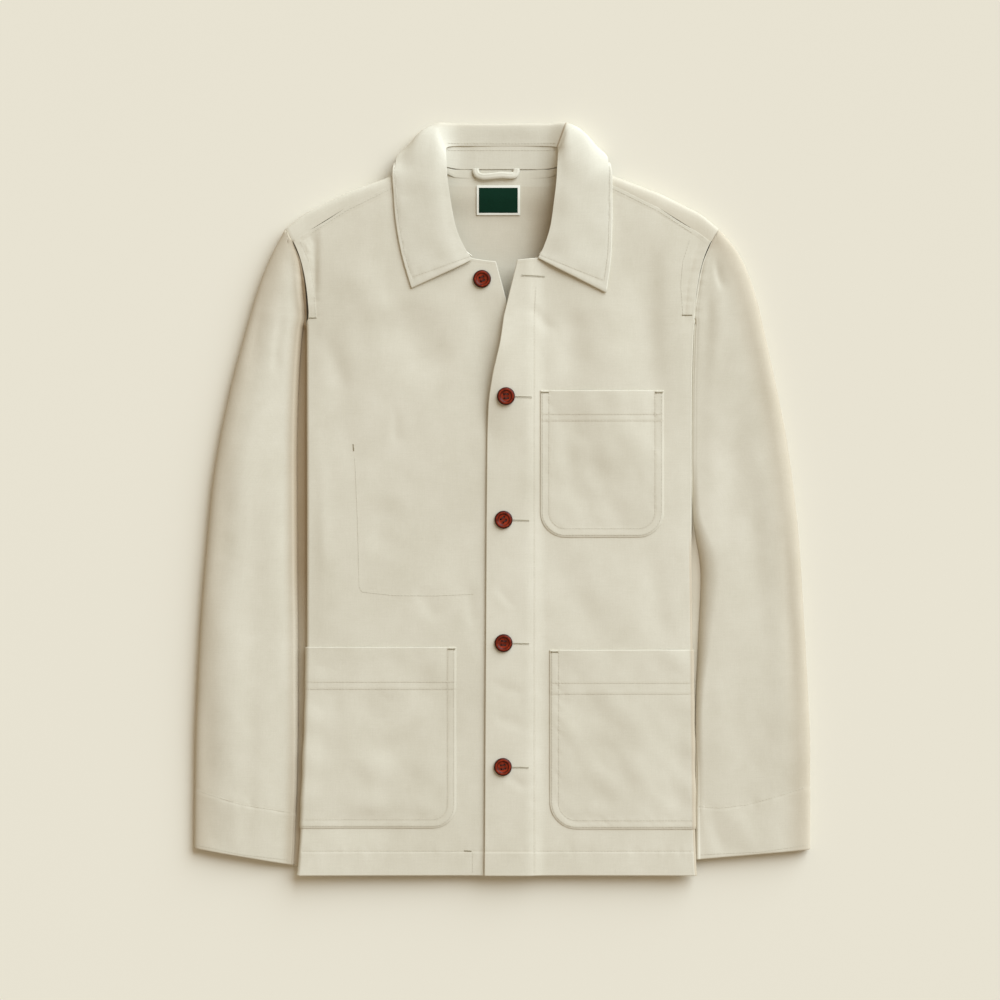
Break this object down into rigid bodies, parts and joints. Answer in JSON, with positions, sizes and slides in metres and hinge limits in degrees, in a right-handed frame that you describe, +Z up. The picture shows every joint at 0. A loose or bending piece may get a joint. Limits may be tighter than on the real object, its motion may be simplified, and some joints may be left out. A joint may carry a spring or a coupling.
{
  "type": "chore jacket",
  "caption": "Cotton canvas chore jacket lying flat on its back, buttoned below an open collar, with patch pockets and sleeves laid beside the body",
  "frame": {"origin": "middle of the jacket's footprint, on the surface that it lies on", "axes": "+Z up from the surface, +Y from hem to collar, +X towards the wearer's left sleeve"},
  "size_m": [0.6434, 0.7848, 0.0243],
  "materials": {
    "canvas": "undyed natural cotton canvas, matt, plain weave with slubs, tonal topstitching",
    "label": "bare dark green woven label with a thin cream edge",
    "button": "semi-gloss reddish brown with a raised rim and four holes"
  },
  "bodies": {
    "root": {"back": "canvas", "front_right": "canvas", "front_left": "canvas", "sleeve_right": "canvas", "sleeve_left": "canvas", "collar_stand": "canvas", "collar_leaf": "canvas", "chest_pocket": "canvas", "lower_pocket_right": "canvas", "lower_pocket_left": "canvas", "hang_loop": "canvas", "neck_label": "label", "button_1": "button", "button_2": "button", "button_3": "button", "button_4": "button", "button_5": "button"}
  },
  "joints": []
}
